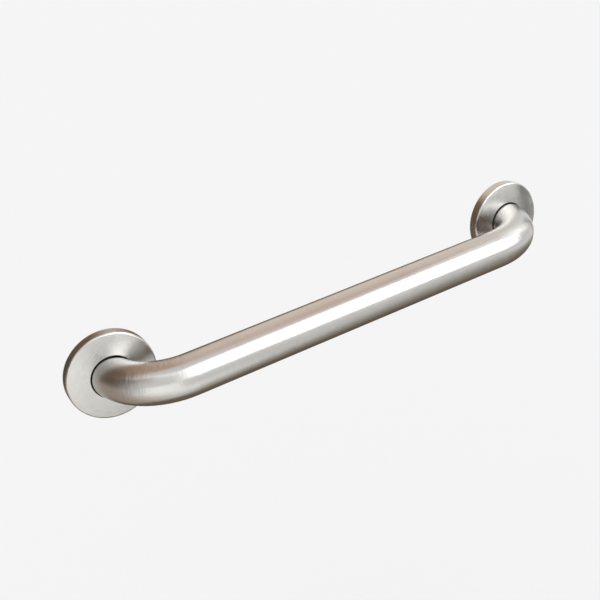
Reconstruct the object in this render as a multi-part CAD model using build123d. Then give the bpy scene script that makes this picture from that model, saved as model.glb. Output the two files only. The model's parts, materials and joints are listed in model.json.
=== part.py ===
"""Wall-mounted grab bar: a bent steel tube, two welded mounting flanges and two press-on covers.

Millimetres. The wall is the plane y = 0 and the bar stands out from it towards -Y. +X runs along the
bar and +Z is up. The origin is on the wall, midway between the two flanges.
"""

import os
from math import sqrt

from build123d import *

# Bar tube
TUBE_OD = 38.0
TUBE_WALL = 1.2
CENTRE_DISTANCE = 450.0  # between the two legs, axis to axis
WALL_CLEARANCE = 38.0  # finger room between the wall and the back of the grip
STRAIGHT_LEG = 0.5  # from the wall to where the bend starts

# Mounting flange, hidden under the cover
FLANGE_THICKNESS = 3.0
FLANGE_EDGE_CHAMFER = 0.5
TUBE_SEAT_GAP = 0.1  # round the tube in the flange's middle hole
SCREW_HOLE_DIAMETER = 7.0
SCREW_CIRCLE_DIAMETER = 60.0
SCREW_COUNT = 3
FIRST_SCREW_ANGLE = 90.0  # degrees from +X towards +Z: one screw stands at the top

# Fillet weld between tube and flange
WELD_LEG = 3.0
WELD_CROWN = 0.4

# Cover, one pressed sheet
COVER_OD = 82.0
COVER_SHEET = 0.8
COVER_RIM_DEPTH = 9.8  # from the wall to the sharp corner of rim and face
COVER_DEPTH = 11.6  # from the wall to the edge of the hole
COVER_FACE_CROWN = 0.35  # how far the face bulges off a straight cone
COVER_CORNER_RADIUS = 2.0
COVER_HOLE_ROUND = 0.5
COVER_HOLE_GAP = 0.6  # between hole and tube, on either side of the bend
COVER_RIM_GAP = 0.5  # between rim and mounting flange

# Worked out from the sizes above
TUBE_RADIUS = TUBE_OD / 2
STANDOFF = WALL_CLEARANCE + TUBE_RADIUS  # from the wall to the axis of the grip
BEND_RADIUS = STANDOFF - STRAIGHT_LEG
LEG_X = {"left": -CENTRE_DISTANCE / 2, "right": CENTRE_DISTANCE / 2}


def tube_reach(depth):
    """How far the tube reaches from the leg's axis, in the plane at that distance from the wall.

    Past the straight leg the tube leans with the bend, so it reaches further towards the middle of the
    bar than towards its end. Both distances are given, the middle first.
    """
    into_bend = max(0.0, depth - STRAIGHT_LEG)
    to_middle = BEND_RADIUS - sqrt((BEND_RADIUS - TUBE_RADIUS) ** 2 - into_bend**2)
    to_end = sqrt((BEND_RADIUS + TUBE_RADIUS) ** 2 - into_bend**2) - BEND_RADIUS
    return to_middle, to_end


FLANGE_HOLE_RADIUS = max(tube_reach(FLANGE_THICKNESS)) + TUBE_SEAT_GAP
COVER_HOLE_RADIUS = sum(tube_reach(COVER_DEPTH)) / 2 + COVER_HOLE_GAP
# A loose cover centres itself on the leaning tube, a little nearer the middle of the bar than its leg.
COVER_SHIFT = (tube_reach(COVER_DEPTH)[0] - tube_reach(COVER_DEPTH)[1]) / 2
COVER_X = {"left": LEG_X["left"] + COVER_SHIFT, "right": LEG_X["right"] - COVER_SHIFT}
FLANGE_RADIUS = COVER_OD / 2 - COVER_SHEET - COVER_RIM_GAP - COVER_SHIFT


def swept_along_bar(section):
    """A flat section, drawn on the wall round the left leg's axis, carried along the bar's centreline."""
    left, right = LEG_X["left"], LEG_X["right"]
    corners = [(left, 0), (left, -STANDOFF), (right, -STANDOFF), (right, 0)]
    path = FilletPolyline(*corners, radius=BEND_RADIUS)
    start = Plane(origin=(left, 0, 0), x_dir=(1, 0, 0), z_dir=(0, -1, 0))
    return sweep(start * section, path=path)


def make_bar_tube():
    """One length of round tube with a quarter bend at each end, cut flush with the wall."""
    return swept_along_bar(Circle(TUBE_RADIUS) - Circle(TUBE_RADIUS - TUBE_WALL))


def make_flange():
    """Flat disc round the end of the tube, with plain screw holes on one circle."""
    facing_out = Plane(origin=(0, 0, 0), x_dir=(1, 0, 0), z_dir=(0, -1, 0))
    outline = Circle(FLANGE_RADIUS) - Circle(FLANGE_HOLE_RADIUS)
    places = PolarLocations(SCREW_CIRCLE_DIAMETER / 2, SCREW_COUNT, start_angle=FIRST_SCREW_ANGLE)
    holes = [place * Circle(SCREW_HOLE_DIAMETER / 2) for place in places]
    disc = extrude(facing_out * (outline - holes), amount=FLANGE_THICKNESS)
    rim_edge = disc.edges().filter_by(GeomType.CIRCLE).group_by(Axis.Y)[0].sort_by(SortBy.RADIUS)[-1]
    return chamfer(rim_edge, FLANGE_EDGE_CHAMFER)


def make_weld(leg_x):
    """Ring of weld metal in the corner of tube and flange, with a slightly rounded 45 degree face.

    The section runs on into the tube's wall, and the bar then cuts it off along the bent surface.
    """
    root = (TUBE_RADIUS - TUBE_WALL, -FLANGE_THICKNESS)
    toe_on_flange = (TUBE_RADIUS + WELD_LEG, -FLANGE_THICKNESS)
    end_in_wall = (TUBE_RADIUS - TUBE_WALL, -FLANGE_THICKNESS - WELD_LEG - TUBE_WALL)
    face = SagittaArc(toe_on_flange, end_in_wall, WELD_CROWN)
    outline = Wire([Line(root, toe_on_flange), face, Line(end_in_wall, root)])
    ring = Pos(leg_x, 0, 0) * revolve(make_face(outline), axis=Axis.Y)
    return ring - swept_along_bar(Circle(TUBE_RADIUS))


def make_cover():
    """Pressed cup with a low crowned face and a round hole for the tube, open towards the wall."""
    rim = Line((COVER_OD / 2, 0), (COVER_OD / 2, -COVER_RIM_DEPTH))
    face = SagittaArc(rim @ 1, (COVER_HOLE_RADIUS, -COVER_DEPTH), COVER_FACE_CROWN)
    outside = Wire([rim, face])
    corner = outside.vertices().sort_by_distance((COVER_OD / 2, -COVER_RIM_DEPTH))[0]
    outside = outside.fillet_2d(COVER_CORNER_RADIUS, [corner])
    section = make_face(outside.offset_2d(COVER_SHEET, side=Side.RIGHT, closed=True))
    hole_corner = section.vertices().sort_by_distance((COVER_HOLE_RADIUS, -COVER_DEPTH))[0]
    return revolve(fillet(hole_corner, COVER_HOLE_ROUND), axis=Axis.Y)


def make_all():
    """Every piece in its place, by node name."""
    pieces = {"bar_tube": make_bar_tube()}
    flange, cover = make_flange(), make_cover()
    for side, leg_x in LEG_X.items():
        pieces[f"{side}_mounting_flange"] = Pos(leg_x, 0, 0) * flange
        pieces[f"{side}_flange_weld"] = make_weld(leg_x)
        pieces[f"{side}_cover"] = Pos(COVER_X[side], 0, 0) * cover
    return pieces


os.makedirs("parts", exist_ok=True)
for name, piece in make_all().items():
    export_step(piece, f"parts/{name}.step")
    print(f"{name}: {piece.volume / 1000:.2f} cm3")
print(f"bend radius {BEND_RADIUS:.2f} mm, standoff {STANDOFF:.2f} mm, flange radius {FLANGE_RADIUS:.2f} mm")
print(f"cover hole radius {COVER_HOLE_RADIUS:.2f} mm, cover shift {COVER_SHIFT:.2f} mm")
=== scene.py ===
# %% [markdown]
# # A brushed steel grab bar
# A grab bar is one length of steel tube, bent back to the wall at both ends. A flat flange is
# welded to each end and screwed to the wall, and a loose round cover slides down the tube to hide
# it. The CAD model already has every rigid shape at its true size, so this lesson keeps those
# meshes. It gives them their brushed finishes, lays the ripples into the weld beads, and builds
# the studio.

# %% Load the CAD model
import json
from math import cos, pi, radians, sin, tau

import bpy
import numpy as np
from mathutils import Matrix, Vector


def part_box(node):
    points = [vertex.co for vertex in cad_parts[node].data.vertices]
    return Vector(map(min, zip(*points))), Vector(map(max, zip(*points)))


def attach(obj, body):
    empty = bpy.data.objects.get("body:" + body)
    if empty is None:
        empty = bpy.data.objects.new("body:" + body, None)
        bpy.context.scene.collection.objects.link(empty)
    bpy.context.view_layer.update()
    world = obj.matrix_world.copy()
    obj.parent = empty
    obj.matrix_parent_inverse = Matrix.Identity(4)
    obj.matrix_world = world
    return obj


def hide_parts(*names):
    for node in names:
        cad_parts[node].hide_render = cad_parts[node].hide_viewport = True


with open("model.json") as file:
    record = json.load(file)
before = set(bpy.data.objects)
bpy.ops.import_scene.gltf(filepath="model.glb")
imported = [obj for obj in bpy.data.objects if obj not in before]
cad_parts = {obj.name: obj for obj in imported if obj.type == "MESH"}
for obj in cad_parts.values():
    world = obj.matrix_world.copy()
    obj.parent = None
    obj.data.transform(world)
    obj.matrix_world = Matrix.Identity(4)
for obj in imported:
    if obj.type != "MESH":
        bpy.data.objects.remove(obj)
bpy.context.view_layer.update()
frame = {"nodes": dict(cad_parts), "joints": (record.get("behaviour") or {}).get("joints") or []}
print("CAD nodes:", ", ".join(sorted(frame["nodes"])))

# %% [markdown]
# Every size below comes from the CAD model, so the finishes still fit if the bar changes. The
# tube's box gives its thickness. The covers turn about the centres of the two bends, so the
# joints say where the tube stops being straight, and the box of a cover gives the axis that its
# face was brushed about.

# %% Measure the CAD model
tube_low, tube_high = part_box("bar_tube")
tube_radius = (tube_high.z - tube_low.z) / 2
axis_y = tube_low.y + tube_radius
bend_x, bend_y, _ = next(j["pos_m"] for j in frame["joints"] if j["name"] == "right_cover_ride")
bend_radius = bend_y - axis_y
leg_x = bend_x + bend_radius
cover_low, cover_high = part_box("right_cover")
cover_x = (cover_low.x + cover_high.x) / 2
print(f"tube radius {tube_radius:.4f}, bend radius {bend_radius:.4f}, legs at x = {leg_x:.4f}")
print(f"covers at x = {cover_x:.4f}, front at y = {cover_low.y:.4f}")

# %% [markdown]
# The camera stands where the photographer stood: to the left of the bar's middle, above it, and
# rolled a little so that the bar climbs across the picture. A camera in Blender looks along its
# own -Z, so its turn is a matrix whose columns are the picture's right, its up, and the way back
# to the camera.

# %% Place the camera
IMAGE_PIXELS = 600  # the picture is square
FOCAL_PIXELS = 866.2
SENSOR_MM = 36.0
CLIP_METRES = 200.0  # past the far corners of the floor
CAMERA_PLACE = (-0.3534, -0.6759, 0.3747)
AZIMUTH, ELEVATION, ROLL = radians(-25.68), radians(26.77), radians(-9.34)

back = np.array((sin(AZIMUTH) * cos(ELEVATION), -cos(AZIMUTH) * cos(ELEVATION), sin(ELEVATION)))
level = np.array((cos(AZIMUTH), sin(AZIMUTH), 0.0))
upright = np.cross(back, level)
right = level * cos(ROLL) + upright * sin(ROLL)
up = upright * cos(ROLL) - level * sin(ROLL)

lens = bpy.data.cameras.new("camera")
lens.sensor_width = SENSOR_MM
lens.lens = SENSOR_MM * FOCAL_PIXELS / IMAGE_PIXELS
lens.clip_end = CLIP_METRES
camera = bpy.data.objects.new("camera", lens)
turn = Matrix(np.column_stack((right, up, back)).tolist()).to_4x4()
camera.matrix_world = Matrix.Translation(CAMERA_PLACE) @ turn
bpy.context.scene.collection.objects.link(camera)
bpy.context.scene.camera = camera
bpy.context.scene.view_settings.view_transform = "Standard"
print(f"lens {lens.lens:.1f} mm")

# %% [markdown]
# A finish is a graph of shader nodes, and most of them are arithmetic. Placing them by hand hides
# the formula, so a small class wraps a socket and lets Python's own operators add the Math nodes.
# A second class holds the material and has one method that adds any other node.

# %% Write shader maths as Python
MM = 1000.0  # millimetres in a metre: metres times MM is a length in millimetres


class Value:
    """A quantity that changes over the surface: one socket, whose operators add Math nodes."""

    def __init__(self, finish, socket):
        self.finish, self.socket = finish, socket

    def math(self, operation, *others):
        return self.finish.node("ShaderNodeMath", {"operation": operation}, [self, *others])

    def __add__(self, other):
        return self.math("ADD", other)

    def __sub__(self, other):
        return self.math("SUBTRACT", other)

    def __rsub__(self, other):
        return self.finish.node("ShaderNodeMath", {"operation": "SUBTRACT"}, [other, self])

    def __mul__(self, other):
        return self.math("MULTIPLY", other)

    def __truediv__(self, other):
        return self.math("DIVIDE", other)

    def __abs__(self):
        return self.math("ABSOLUTE")

    __radd__, __rmul__ = __add__, __mul__


class Finish:
    """One material and its node tree."""

    def __init__(self, name):
        self.material = bpy.data.materials.new(name)
        self.material.use_nodes = True
        self.tree = self.material.node_tree
        self.tree.nodes.clear()

    def node(self, kind, settings=None, sockets=(), out=0):
        """Adds a node, sets its settings first, then fills its sockets with numbers or links."""
        node = self.tree.nodes.new(kind)
        for name, setting in (settings or {}).items():
            setattr(node, name, setting)
        filled = sockets.items() if isinstance(sockets, dict) else enumerate(sockets)
        for name, content in filled:
            if isinstance(content, Value):
                self.tree.links.new(content.socket, node.inputs[name])
            else:
                node.inputs[name].default_value = content
        return Value(self, node.outputs[out]) if len(node.outputs) else None

    def vector(self, x, y, z):
        return self.node("ShaderNodeCombineXYZ", None, [x, y, z])

    def split(self, vector):
        """The three numbers of a vector."""
        parts = self.node("ShaderNodeSeparateXYZ", None, [vector]).socket.node.outputs
        return [Value(self, part) for part in parts]

    def place(self):
        """The point's three numbers in the piece's own coordinates."""
        return self.split(self.node("ShaderNodeTexCoord", None, (), "Object"))

    def mix(self, share, first, second):
        """First colour where share is 0, second where it is 1."""
        sockets = {0: share, 6: first, 7: second}
        return self.node("ShaderNodeMix", {"data_type": "RGBA"}, sockets, 2)

    def noise(self, vector, detail=2.0):
        """Noise about zero, one cell wide where the vector's numbers are one apart."""
        sockets = {"Vector": vector, "Scale": 1.0, "Detail": detail, "Roughness": 0.6}
        return self.node("ShaderNodeTexNoise", {"noise_dimensions": "3D"}, sockets) - 0.5

    def grain(self, lengths, cells_mm, detail=2.0):
        """Noise over three lengths, in cells of so many millimetres along each of them."""
        scaled = [length * (MM / cell) for length, cell in zip(lengths, cells_mm)]
        return self.noise(self.vector(*scaled), detail)

    def step(self, number, start, end):
        """0 before start and 1 after end, smooth between them."""
        settings = {"interpolation_type": "SMOOTHSTEP", "clamp": True}
        return self.node("ShaderNodeMapRange", settings, [number, start, end, 0.0, 1.0])

    def metal(self, colour, roughness, normal, metallic=1.0):
        """Closes the material with one metal shader."""
        sockets = {"Base Color": colour, "Roughness": roughness, "Normal": normal}
        sockets["Metallic"] = metallic
        shader = self.node("ShaderNodeBsdfPrincipled", None, sockets)
        self.node("ShaderNodeOutputMaterial", None, {"Surface": shader})
        print(f"{self.material.name}: {len(self.tree.nodes)} nodes")
        return self.material


# %% [markdown]
# Brushing leaves thousands of fine parallel scratches. Across them the surface leans one way and
# the other many times within a millimetre, so a reflection is smeared across the scratches and
# stays sharper along them. An anisotropic shader could do that, but its direction is lost when
# the part is exported. Leaning the normal across the scratches by a fine noise gives the same
# smear and can be baked.

# %% Lean the normal across the scratches
def brushed_normal(finish, across, lean):
    """The normal plus lean times the direction across the scratches, brought back to length one."""
    settings = {"vector_type": "VECTOR", "convert_from": "OBJECT", "convert_to": "WORLD"}
    across = finish.node("ShaderNodeVectorTransform", settings, [across])
    normal = finish.node("ShaderNodeNewGeometry", None, (), "Normal")
    add = {"operation": "MULTIPLY_ADD"}
    leaning = finish.node("ShaderNodeVectorMath", add, [across, lean, normal])
    return finish.node("ShaderNodeVectorMath", {"operation": "NORMALIZE"}, [leaning])


# %% [markdown]
# The tube was polished on a belt while it turned, so its scratches run round it, also on the
# bends. The pattern therefore has to follow the bent tube. From a point's own coordinates the
# shader works out how far along the centreline it is and where it sits round the section. In a
# bend the distance is the angle turned times the bend's radius. The inside of the tube is left as
# it came from the mill.

# %% Finish the tube
STEEL = (0.555, 0.55, 0.537, 1.0)
STEEL_WARM = (0.53, 0.522, 0.505, 1.0)
MILL_GREY = (0.34, 0.335, 0.325, 1.0)
TUBE_SCRATCH = (0.09, 8, 8)  # cells in millimetres: along the tube, outward and up
TUBE_BAND = (1.8, 30, 30)
TUBE_CLOUD = (40, 25, 25)
CLOUD_DETAIL = 3.0
TUBE_LEAN = 0.6  # how far the scratches lean the normal
TUBE_ROUGHNESS = 0.22
SKIN_START, SKIN_END = 0.0004, 0.0008  # depths in the wall between which the finish ends


def round_the_tube(finish):
    """Distance along the centreline, place in the section and the centreline's direction.

    Past the end of the straight, the angle turned is that of the point about the bend's centre.
    """
    x, y, z = finish.place()
    past = (abs(x) - bend_x).math("MAXIMUM", 0.0)
    off = bend_y - y
    turned = past.math("ARCTAN2", off)
    side = x.math("SIGN")
    along = side * (abs(x).math("MINIMUM", bend_x) + turned * bend_radius)
    outward = (past * past + off * off).math("SQRT") - bend_radius
    direction = finish.vector(turned.math("COSINE"), side * turned.math("SINE"), 0.0)
    return along, outward, z, direction


def make_tube_satin():
    """Scratches round the tube, with soft tone and gloss changes along it."""
    finish = Finish("tube_satin")
    along, outward, z, direction = round_the_tube(finish)
    fine = finish.grain((along, outward, z), TUBE_SCRATCH)
    broad = finish.grain((along, outward, z), TUBE_BAND)
    cloud = finish.grain((along, outward, z), TUBE_CLOUD, CLOUD_DETAIL)
    radius = (outward * outward + z * z).math("SQRT")
    inside = finish.step(radius, tube_radius - SKIN_START, tube_radius - SKIN_END)
    lean = (fine * TUBE_LEAN + broad * 0.03) * (1 - inside)
    tone = finish.mix(finish.step(cloud + broad * 0.5, -0.25, 0.25), STEEL_WARM, STEEL)
    colour = finish.mix(inside, tone, MILL_GREY)
    roughness = TUBE_ROUGHNESS + fine * 0.08 + cloud * 0.06 + inside * 0.2
    return finish.metal(colour, roughness, brushed_normal(finish, direction, lean))


frame["nodes"]["bar_tube"].material_slots[0].material = make_tube_satin()

# %% [markdown]
# Each cover was pressed from thin sheet and brushed while it turned on a spindle, so its
# scratches are circles round the hole. Light then gathers into bright and dark fans that point at
# the centre. The distance across the scratches is the radius on the face and the depth on the
# rim. Radius minus y grows steadily over both. The inside, which faces the wall, is left dull.

# %% Finish the covers
COVER_LEAN = 1.5
COVER_ROUGHNESS = 0.26


def round_the_hole(finish):
    """Distance across the scratches, cosine and sine round the hole, and two more.

    They are the direction across the scratches, and a number that is large where the surface
    faces the wall or the axis of the hole.
    """
    x, y, z = finish.place()
    side = x.math("SIGN")
    sideways = side * (abs(x) - cover_x)
    radius = (sideways * sideways + z * z).math("SQRT")
    cosine, sine = sideways / radius, z / radius
    tangent = finish.vector(0 - sine, 0.0, cosine)
    normal = finish.node("ShaderNodeTexCoord", None, (), "Normal")
    cross = {"operation": "CROSS_PRODUCT"}
    across = finish.node("ShaderNodeVectorMath", cross, [normal, tangent])
    facing = finish.split(normal)
    inward = facing[1].math("MAXIMUM", 0 - (facing[0] * cosine + facing[2] * sine))
    return radius - y, cosine, sine, across, inward


def make_cover_satin():
    """Circular scratches on face and rim, with a few deeper ones."""
    finish = Finish("cover_satin")
    distance, cosine, sine, across, inward = round_the_hole(finish)

    def rings(cell_mm, patches, detail=2.0):
        """Noise in cells of so many millimetres across the scratches, drawn out round the hole."""
        place = finish.vector(distance * (MM / cell_mm), cosine * patches, sine * patches)
        return finish.noise(place, detail)

    fine, broad, cloud = rings(0.05, 4.0), rings(1.2, 1.2), rings(12, 1.5, CLOUD_DETAIL)
    inside = finish.step(inward, 0.2, 0.6)
    lean = (fine * COVER_LEAN + broad * 0.02) * (1 - inside)
    tone = finish.mix(finish.step(cloud + broad * 0.4, -0.25, 0.25), STEEL_WARM, STEEL)
    colour = finish.mix(inside, tone, MILL_GREY)
    roughness = COVER_ROUGHNESS + fine * 0.06 + cloud * 0.05 + inside * 0.18
    return finish.metal(colour, roughness, brushed_normal(finish, across, lean))


cover_satin = make_cover_satin()
for name in ("left_cover", "right_cover"):
    frame["nodes"][name].material_slots[0].material = cover_satin

# %% [markdown]
# The flanges are cut from plate and nobody sees them, so they keep the grey, slightly cloudy skin
# of the mill. Welding heat has left rings of straw and brown round the bead, strongest beside it.
# A colour that depends on the distance from the leg's axis is all that this needs.

# %% Finish the flanges
STRAW = (0.45, 0.37, 0.24, 1.0)
BROWN = (0.27, 0.22, 0.20, 1.0)
FLANGE_GRAIN = (12, 2, 0.5)  # cells in millimetres along x, y and z
FLANGE_CLOUD = (9, 9, 9)
FLANGE_METALLIC = 0.6  # the skin is part oxide
weld_low, weld_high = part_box("right_flange_weld")
weld_toe = (weld_high.z - weld_low.z) / 2  # radius at which the bead ends on the flange
print(f"heat colours from radius {weld_toe:.4f}")


def make_flange_steel():
    """Mill skin with a rolled grain along x, and heat colours round the weld."""
    finish = Finish("flange_steel")
    x, y, z = finish.place()
    sideways = abs(x) - leg_x
    radius = (sideways * sideways + z * z).math("SQRT")
    grain = finish.grain((x, y, z), FLANGE_GRAIN, CLOUD_DETAIL)
    cloud = finish.grain((x, y, z), FLANGE_CLOUD, 4.0)
    edge = radius + cloud * 0.004
    straw_end = finish.step(edge, weld_toe + 0.004, weld_toe + 0.008)
    brown_end = finish.step(edge, weld_toe + 0.0005, weld_toe + 0.003)
    colour = finish.mix(brown_end, BROWN, finish.mix(straw_end, STRAW, MILL_GREY))
    roughness = 0.42 + grain * 0.12 + cloud * 0.15
    normal = brushed_normal(finish, finish.vector(0.0, 0.0, 1.0), grain * 0.25)
    return finish.metal(colour, roughness, normal, FLANGE_METALLIC)


flange_steel = make_flange_steel()
for name in ("left_mounting_flange", "right_mounting_flange"):
    frame["nodes"][name].material_slots[0].material = flange_steel

# %% [markdown]
# A welder lays the bead one drop at a time, and each drop freezes as a small ripple, so a good
# bead looks like a row of stacked coins. The CAD bead is a smooth ring. Here it is replaced by a
# surface with two parameters: the angle round the leg, and the way round the bead's own section.

# %% Shape the weld beads
RIPPLES = 64  # drops in one turn
STEPS_PER_RIPPLE = 10
SECTION_STEPS = 18
RIPPLE_DEPTH = 0.0003
RIPPLE_LAG = 1.6  # how far a drop's toes trail behind its middle, in radians
SUNK = 0.0004  # how far the bead reaches into tube and flange
FULLNESS = 0.9  # below 1 the section bulges past an ellipse


def bead_surface(centre_x, toe_radius, root_y, top_y):
    """Ring of points: a closed section carried round the leg's axis.

    The section is a quarter ellipse from the toe on the flange to the toe on the tube, closed
    through the corner. The ellipse is drawn in by a ripple, the square of half a sine wave whose
    phase lags towards the two toes, so that each drop is a crescent. Two slow sine waves make the
    phase wander, so that the drops aren't all alike.
    """
    count = RIPPLES * STEPS_PER_RIPPLE
    angle = np.arange(count)[:, None] * (tau / count)
    share = np.linspace(0.0, 1.0, SECTION_STEPS)[None, :]
    lag = RIPPLE_LAG * (2 * share - 1) ** 2
    wander = 0.7 * np.sin(3 * angle + 0.4) + 0.5 * np.sin(7 * angle)
    ripple = np.sin((RIPPLES * angle + wander - lag) / 2) ** 2
    inner = tube_radius - SUNK
    reach = toe_radius - inner
    rise = root_y + SUNK - top_y
    shrink = 1 - RIPPLE_DEPTH / reach * (1 - ripple) * np.sin(pi * share)
    radius = inner + reach * np.cos(pi / 2 * share) ** FULLNESS * shrink
    height = rise * np.sin(pi / 2 * share) ** FULLNESS * shrink
    corner = np.full((count, 1), inner)
    radius = np.concatenate((radius, corner), axis=1)
    y = root_y + SUNK - np.concatenate((height, np.zeros((count, 1))), axis=1)
    return np.stack((centre_x + radius * np.cos(angle), y, radius * np.sin(angle)), axis=-1)


def closed_grid(name, points):
    """Mesh of a grid that closes both ways, one quad between four neighbouring points."""
    rows, columns = points.shape[:2]
    index = np.arange(rows * columns).reshape(rows, columns)
    ahead, beside = np.roll(index, -1, 0), np.roll(index, -1, 1)
    quads = np.stack((index, ahead, np.roll(ahead, -1, 1), beside), axis=-1).reshape(-1, 4)
    mesh = bpy.data.meshes.new(name)
    mesh.from_pydata(points.reshape(-1, 3), [], quads)
    mesh.polygons.foreach_set("use_smooth", np.ones(len(quads), bool))
    mesh.update()
    piece = bpy.data.objects.new(name, mesh)
    bpy.context.scene.collection.objects.link(piece)
    return piece


# %% [markdown]
# Bare weld metal is duller than the tube, straw coloured from the heat, and greyer where one drop
# meets the next. The angle round the leg gives the place within a drop. The bead takes the place
# of the smooth ring, and rides on the bar as that did.

# %% Lay the weld beads
WELD_SPECK = (0.6, 0.6, 0.6)  # cells in millimetres


def make_weld_steel():
    """Bare weld metal, tinted straw in one part of each ripple and grey in the other."""
    finish = Finish("weld_steel")
    x, y, z = finish.place()
    angle = z.math("ARCTAN2", abs(x) - leg_x)
    speck = finish.grain((x, y, z), WELD_SPECK, CLOUD_DETAIL)
    drop = (angle * RIPPLES).math("COSINE")
    colour = finish.mix(finish.step(drop + speck, -0.8, 0.9), STRAW, MILL_GREY)
    roughness = 0.36 + speck * 0.25
    normal = brushed_normal(finish, finish.vector(0.0, -0.7, 0.7), speck * 0.3)
    return finish.metal(colour, roughness, normal)


weld_steel = make_weld_steel()
for side, sign in (("left", -1), ("right", 1)):
    weld_low, weld_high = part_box(f"{side}_flange_weld")
    toe = (weld_high.z - weld_low.z) / 2
    points = bead_surface(sign * leg_x, toe, weld_high.y, weld_low.y)
    bead = closed_grid(f"{side}_weld_bead", points)
    bead.data.materials.append(weld_steel)
    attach(bead, "bar")
    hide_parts(f"{side}_flange_weld")
    print(f"{bead.name}: {len(bead.data.polygons)} faces")

# %% [markdown]
# Polished metal has hardly any colour of its own: it shows what stands round it. A photographer
# therefore shapes the light in cards and softboxes just outside the picture. The floor and the
# sky are one plain pale tone. A broad soft sun gives the floor its faint shadow, and the floor is
# just so much darker than white that sky and sun together bring it back to the sky's tone.

# %% Set up floor, sky and sun
PALE = 0.913  # renders as the pale grey of the background
FLOOR_DROP, FLOOR_HALF = 0.6, 60.0
SUN_SHARE = 0.15  # of the floor's light
SUN_DEGREES = 60  # how wide the sun is, which makes its shadow soft


def make_floor():
    """One large square, below the bar."""
    square = np.array([(-1, -1, 0), (1, -1, 0), (1, 1, 0), (-1, 1, 0)]) * FLOOR_HALF
    mesh = bpy.data.meshes.new("floor")
    mesh.from_pydata(square - (0, 0, FLOOR_DROP), [], [(0, 1, 2, 3)])
    floor = bpy.data.objects.new("floor", mesh)
    bpy.context.scene.collection.objects.link(floor)
    paint = Finish("floor_paint")
    grey = 1 - SUN_SHARE
    shader = paint.node("ShaderNodeBsdfDiffuse", None, {"Color": (grey, grey, grey, 1.0)})
    paint.node("ShaderNodeOutputMaterial", None, {"Surface": shader})
    mesh.materials.append(paint.material)


make_floor()
world = bpy.data.worlds.new("sky")
world.use_nodes = True
world.node_tree.nodes["Background"].inputs["Color"].default_value = (PALE, PALE, PALE, 1.0)
bpy.context.scene.world = world

sun = bpy.data.lights.new("sun", "SUN")
sun.energy = pi * PALE * SUN_SHARE / (1 - SUN_SHARE)
sun.angle = radians(SUN_DEGREES)
sun_object = bpy.data.objects.new("sun", sun)
sun_object.visible_glossy = False
bpy.context.scene.collection.objects.link(sun_object)
print(f"floor {FLOOR_DROP} below the bar, sun {sun.energy:.3f}")

# %% [markdown]
# The bar is a cylinder, so each line along it mirrors one direction round its axis. Most cards
# are therefore strips of a wide tunnel round the bar, from one angle to another: 0 is level with
# the bar in front of it, 90 is straight above, 180 is behind and -90 is beneath. Only mirrored
# rays see the cards, so they light nothing else and stand in nobody's way.

# %% Prepare the cards
STRIP_STEPS = 25


def tunnel_strip(radius, first_degrees, last_degrees, first_x, last_x):
    """Strip of a tunnel between two angles round the bar and two places along it.

    Where an angle is given as a pair, the strip runs from the one at first_x to that at last_x.
    """
    ends = np.broadcast_to(first_degrees, 2), np.broadcast_to(last_degrees, 2)
    angle = np.radians(np.linspace(*ends, STRIP_STEPS))
    x = np.array([first_x, last_x])[None, :]
    y = axis_y - radius * np.cos(angle) + 0 * x
    z = radius * np.sin(angle) + 0 * x
    return np.stack((x + 0 * angle, y, z), axis=-1)


def flat_sheet(first, second, third):
    """Sheet with a corner at the first point and its sides towards the other two."""
    corner, one, two = (np.array(point) for point in (first, second, third))
    return np.array([[corner, two], [one, one + two - corner]])


def mirror_card(name, points, base, layers):
    """Glowing sheet through a grid of points, for mirrored rays alone.

    From a place, layers gives colours and their shares, and each is laid over those before it.
    """
    paint = Finish(f"{name}_glow")
    colour = (*base, 1.0)
    for layer, share in layers(paint, *paint.place()):
        colour = paint.mix(share, colour, (*layer, 1.0))
    glow = paint.node("ShaderNodeEmission", None, {"Color": colour})
    paint.node("ShaderNodeOutputMaterial", None, {"Surface": glow})
    rows, columns = points.shape[:2]
    index = np.arange(rows * columns).reshape(rows, columns)
    quads = np.stack((index[:-1, :-1], index[1:, :-1], index[1:, 1:], index[:-1, 1:]), axis=-1)
    mesh = bpy.data.meshes.new(name)
    mesh.from_pydata(points.reshape(-1, 3), [], quads.reshape(-1, 4))
    mesh.materials.append(paint.material)
    card = bpy.data.objects.new(name, mesh)
    card.visible_camera = card.visible_diffuse = card.visible_shadow = False
    card.visible_transmission = card.visible_volume_scatter = False
    bpy.context.scene.collection.objects.link(card)
    print(f"{name}: {len(mesh.polygons)} faces, {len(paint.tree.nodes)} nodes")


def between(paint, number, rise, fall):
    """Share that rises over the first pair of numbers and falls again over the second."""
    return paint.step(number, *rise) * (1 - paint.step(number, *fall))


# %% [markdown]
# A softbox in front and above draws the long white band. It widens to the right, as the band
# does, and is a little dimmer there, with a dull lower corner, so that the band ends in a slant
# on the right bend. To the left it fades out, and the band ends softly.

# %% Hang the softbox
TUNNEL = 1.3
SOFTBOX, SOFTBOX_RIGHT = (4.0, 4.0, 4.0), (3.1, 3.1, 3.1)
SOFTBOX_LOW, PALE_CARD = (1.0, 1.0, 0.98), (1.0, 1.0, 1.0)


def softbox_layers(paint, x, y, z):
    """Dimmer to the right, dull in the lower right corner, fading out to the left."""
    yield SOFTBOX_RIGHT, paint.step(x, 0.9, 1.3)
    yield SOFTBOX_LOW, paint.step(x, 1.03, 1.16) * (1 - paint.step(z, 0.22, 0.4))
    yield PALE_CARD, 1 - paint.step(x, -0.55, 0.75)


softbox = tunnel_strip(TUNNEL, (21.5, 5.0), (60.5, 74.0), -1.2, 2.2)
mirror_card("softbox", softbox, SOFTBOX, softbox_layers)

# %% [markdown]
# A warm card over and behind the bar gives the beige upper side. It turns tan and then brown to
# the left, and pale to the right, where the right leg mirrors it. A darker patch near the right
# bend draws the soft line above the white band. A short bright strip hangs over the left end,
# just inside the other cards, and puts the light on the left bend.

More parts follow.
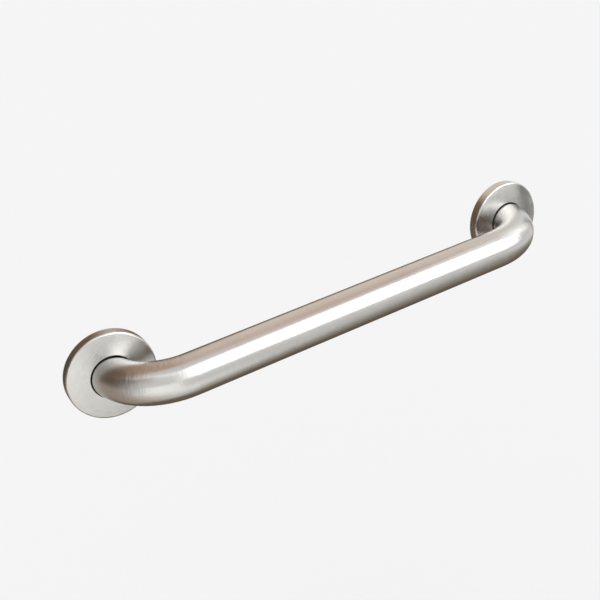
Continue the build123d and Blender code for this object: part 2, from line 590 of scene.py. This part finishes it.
# %% Hang the warm card and the left strip
WARM, WARM_PALE = (0.92, 0.67, 0.56), (1.03, 0.92, 0.81)
LEFT_TAN, BROWN_CARD = (0.66, 0.47, 0.37), (0.20, 0.135, 0.085)
RIGHT_PALE, RIGHT_BACK = (1.38, 1.38, 1.35), (0.97, 0.97, 0.94)
RIGHT_GLOW, TOP_LINE = (2.3, 2.3, 2.25), (0.55, 0.51, 0.46)
LEFT_STRIP, STRIP_END = (1.45, 1.44, 1.41), (0.8, 0.73, 0.65)
STRIP_TUNNEL = 1.25


def warm_layers(paint, x, y, z):
    """Paler to the back, tan and brown to the left, white to the right, with one dark patch."""
    yield WARM_PALE, paint.step(y, -0.1, 1.0)
    yield LEFT_TAN, 1 - paint.step(x, -0.2, 0.28)
    yield BROWN_CARD, 1 - paint.step(x - y, -1.45, -0.72)
    yield PALE_CARD, (1 - paint.step(x, 0.1, 0.5)) * (1 - paint.step(y, -0.2, 0.2))
    yield RIGHT_PALE, paint.step(x - y * 0.3, 0.85, 1.1)
    yield RIGHT_BACK, paint.step(x, 0.95, 1.3) * paint.step(y, 0.35, 0.75)
    yield RIGHT_GLOW, paint.step(x, 1.35, 1.75) * (1 - paint.step(y, -0.05, 0.2))
    patch_x = between(paint, x, (0.75, 0.95), (0.95, 1.3))
    yield TOP_LINE, patch_x * between(paint, y, (-0.14, 0.1), (0.1, 0.42))


def strip_layers(paint, x, y, z):
    """Dimmer and warmer at its left end."""
    yield STRIP_END, 1 - paint.step(x, -1.05, -0.55)


mirror_card("warm_card", tunnel_strip(TUNNEL, 80, 168, -3.0, 8.0), WARM, warm_layers)
left_strip = tunnel_strip(STRIP_TUNNEL, (78.0, 47.5), (95.0, 66.5), -1.0, -0.35)
mirror_card("left_strip", left_strip, LEFT_STRIP, strip_layers)

# %% [markdown]
# Dark cards give metal its edges. One hangs behind the bar, darkest at the left, and draws the
# thin dark line along the top. A mat lies under the bar, and its dark is painted shade: the bar's
# shadow on the floor beneath it, which the lower side of the bar mirrors. Its tone fans out from a
# point to the left, so the dark edge of the bar is narrow at the left end and wide at the right.
# The far part of the mat is pale again, for the underside of the right bend.

# %% Hang the back card and lay the mat
BACK_SHADE, BACK_DARK = (0.19, 0.135, 0.095), (0.10, 0.07, 0.05)
# The mat's middle and dark tones are painted shadow of the bar on the floor beneath it.
MAT_PALE, MAT_HALF_SHADOW, MAT_SHADOW = (0.90, 0.90, 0.87), (0.45, 0.42, 0.37), (0.17, 0.13, 0.10)
FAR_PALE, FAR_END = (0.97, 0.97, 0.95), (1.0, 1.0, 0.98)
# Painted shadow of the left leg and the bar on the floor beneath them.
LEFT_END_SHADOW = (0.20, 0.15, 0.11)
MAT_DROP, MAT_PIVOT_X, MAT_PIVOT_Y = 0.55, -0.4, -0.1
MAT_FRONT, MAT_BACK, MAT_RIGHT = -4.0, 1.5, 4.0


def fan(paint, x, y, first_degrees, last_degrees):
    """Share that grows with the angle about a point to the left of the bar, seen from above."""
    angle = (y - MAT_PIVOT_Y).math("ARCTAN2", x - MAT_PIVOT_X)
    return paint.step(angle, radians(first_degrees), radians(last_degrees))


def away_from(paint, x, y, centre, first, last):
    """Share that grows with the distance from a point, seen from above."""
    away_x, away_y = x - centre[0], y - centre[1]
    return paint.step((away_x * away_x + away_y * away_y).math("SQRT"), first, last)


def shadow_under_left_leg(paint, x, y):
    """Share of the leg's painted shadow: 1 beneath the left leg, falling off round it."""
    return 1 - away_from(paint, x, y, (-leg_x, axis_y), 0.05, 0.32)


def back_layers(paint, x, y, z):
    """Darker to the left."""
    yield BACK_DARK, 1 - paint.step(x, -0.8, -0.3)


def mat_layers(paint, x, y, z):
    """Two fans of the bar's painted shadow from pale to dark, pale again far away, and the left
    leg's painted shadow.
    """
    pivot = MAT_PIVOT_X, MAT_PIVOT_Y
    yield MAT_HALF_SHADOW, fan(paint, x, y, -57, -18)
    yield MAT_SHADOW, fan(paint, x, y, -30, 12)
    yield FAR_PALE, away_from(paint, x, y, pivot, 1.2, 2.7) * fan(paint, x, y, -40, -30)
    yield FAR_END, away_from(paint, x, y, pivot, 2.3, 3.2) * fan(paint, x, y, -50, -42)
    yield LEFT_END_SHADOW, shadow_under_left_leg(paint, x, y)


mirror_card("back_card", tunnel_strip(TUNNEL, 168, 212, -3.0, 1.1), BACK_SHADE, back_layers)
# A sheet under the bar, whose dark fans are the bar's painted shadow.
mat = flat_sheet(
    (MAT_PIVOT_X, MAT_FRONT, -MAT_DROP),
    (MAT_RIGHT, MAT_FRONT, -MAT_DROP),
    (MAT_PIVOT_X, MAT_BACK, -MAT_DROP),
)
mirror_card("dark_mat", mat, MAT_PALE, mat_layers)

# %% [markdown]
# The left end of the bar mirrors the room to its left, which is warm and dim. A brown mat goes on
# from the dark one, paler towards the front, with the shadow of the leg and the bar painted dark
# beneath the leg and to the right and back of it. A brown card stands at its far edge. The card is
# pale in front, where the left cover mirrors it, and lighter at foot and head.

# %% Stand the left card and lay its mat
LEFT_FLOOR, LEFT_FRONT = (0.465, 0.386, 0.318), (0.93, 0.86, 0.77)
LEFT_DARK, LEFT_LOW, LEFT_TOP = (0.17, 0.125, 0.09), (0.47, 0.39, 0.335), (0.58, 0.37, 0.26)
LEFT_MAT_EDGE, LEFT_MAT_FRONT, LEFT_MAT_BACK = -2.5, -0.6, 2.5
WALL_X, WALL_FRONT, WALL_BACK, WALL_TOP = -1.5, -1.6, 3.0, 1.8


def left_mat_layers(paint, x, y, z):
    """Paler towards the front, with painted shadow beneath the leg and to the right and back of it.
    """
    yield LEFT_FRONT, 1 - paint.step(y, -0.55, 0.12)
    yield LEFT_END_SHADOW, shadow_under_left_leg(paint, x, y)
    yield LEFT_END_SHADOW, paint.step(x + y + (leg_x - axis_y), 0.0, 0.16)


def left_card_layers(paint, x, y, z):
    """Lighter low down and at the top, and pale in front, less so towards the top."""
    yield LEFT_LOW, 1 - paint.step(z, -0.3, 0.36)
    yield LEFT_TOP, paint.step(z, 0.9, 1.5)
    yield PALE_CARD, (1 - paint.step(y, -1.1, 0.22)) * (1 - paint.step(z, 0.8, 1.5) * 0.6)


left_mat = flat_sheet(
    (LEFT_MAT_EDGE, LEFT_MAT_FRONT, -MAT_DROP),
    (MAT_PIVOT_X, LEFT_MAT_FRONT, -MAT_DROP),
    (LEFT_MAT_EDGE, LEFT_MAT_BACK, -MAT_DROP),
)
mirror_card("left_mat", left_mat, LEFT_FLOOR, left_mat_layers)
left_wall = flat_sheet(
    (WALL_X, WALL_FRONT, -MAT_DROP),
    (WALL_X, WALL_BACK, -MAT_DROP),
    (WALL_X, WALL_FRONT, WALL_TOP),
)
mirror_card("left_card", left_wall, LEFT_DARK, left_card_layers)

# %% [markdown]
# Photographers call a small black card close to the object a flag. This one stands just in front
# of the right cover, beyond the end of the bar, and darkens the right of its face. Nearly all of
# the tube stands further out than the flag and mirrors what is in front of both, so hardly any of
# its mirrored rays meet the flag. Its edges are soft.

# %% Stand the flag
FLAG = (0.05, 0.052, 0.047)
FLAG_LOW, FLAG_HIGH, FLAG_WIDTH = -0.026, 0.042, 0.03
FLAG_SIDE_EDGE, FLAG_END_EDGE = 0.01, 0.012  # widths of the soft edges
flag_left, flag_y = leg_x + 0.034, cover_low.y - 0.0184
flag_right = flag_left + FLAG_WIDTH


def flag_layers(paint, x, y, z):
    """Dark, but for its four edges, which fade to the tone of the mat."""
    left_edge = flag_left, flag_left + FLAG_SIDE_EDGE
    right_edge = flag_right - FLAG_SIDE_EDGE, flag_right
    low_edge = FLAG_LOW, FLAG_LOW + FLAG_END_EDGE
    high_edge = FLAG_HIGH - FLAG_END_EDGE, FLAG_HIGH
    yield FLAG, between(paint, x, left_edge, right_edge) * between(paint, z, low_edge, high_edge)


right_flag = flat_sheet(
    (flag_left, flag_y, FLAG_LOW), (flag_right, flag_y, FLAG_LOW), (flag_left, flag_y, FLAG_HIGH)
)
mirror_card("right_flag", right_flag, MAT_PALE, flag_layers)

# %% [markdown]
# A white reflector stands low in front, to the left. The left bend and the left cover catch it,
# and it lifts their lower side above the tone of the floor. A brighter edge at its left draws the
# light streak low on the left bend.

# %% Stand the reflector
REFLECTOR, REFLECTOR_TOP = (1.22, 1.22, 1.18), (0.95, 0.95, 0.93)
REFLECTOR_EDGE = (1.45, 1.45, 1.41)
REFLECTOR_TUNNEL = 0.75


def reflector_layers(paint, x, y, z):
    """Duller at the top, brighter half way up at the left, and fading into the mat's tone."""
    yield REFLECTOR_TOP, paint.step(z, -0.34, -0.18)
    yield REFLECTOR_EDGE, paint.step(z, -0.42, -0.3) * (1 - paint.step(x, -0.32, -0.22))
    yield MAT_PALE, paint.step(x, -0.1, 0.2)


reflector = tunnel_strip(REFLECTOR_TUNNEL, -50, 15, -1.3, 0.2)
mirror_card("reflector", reflector, REFLECTOR, reflector_layers)
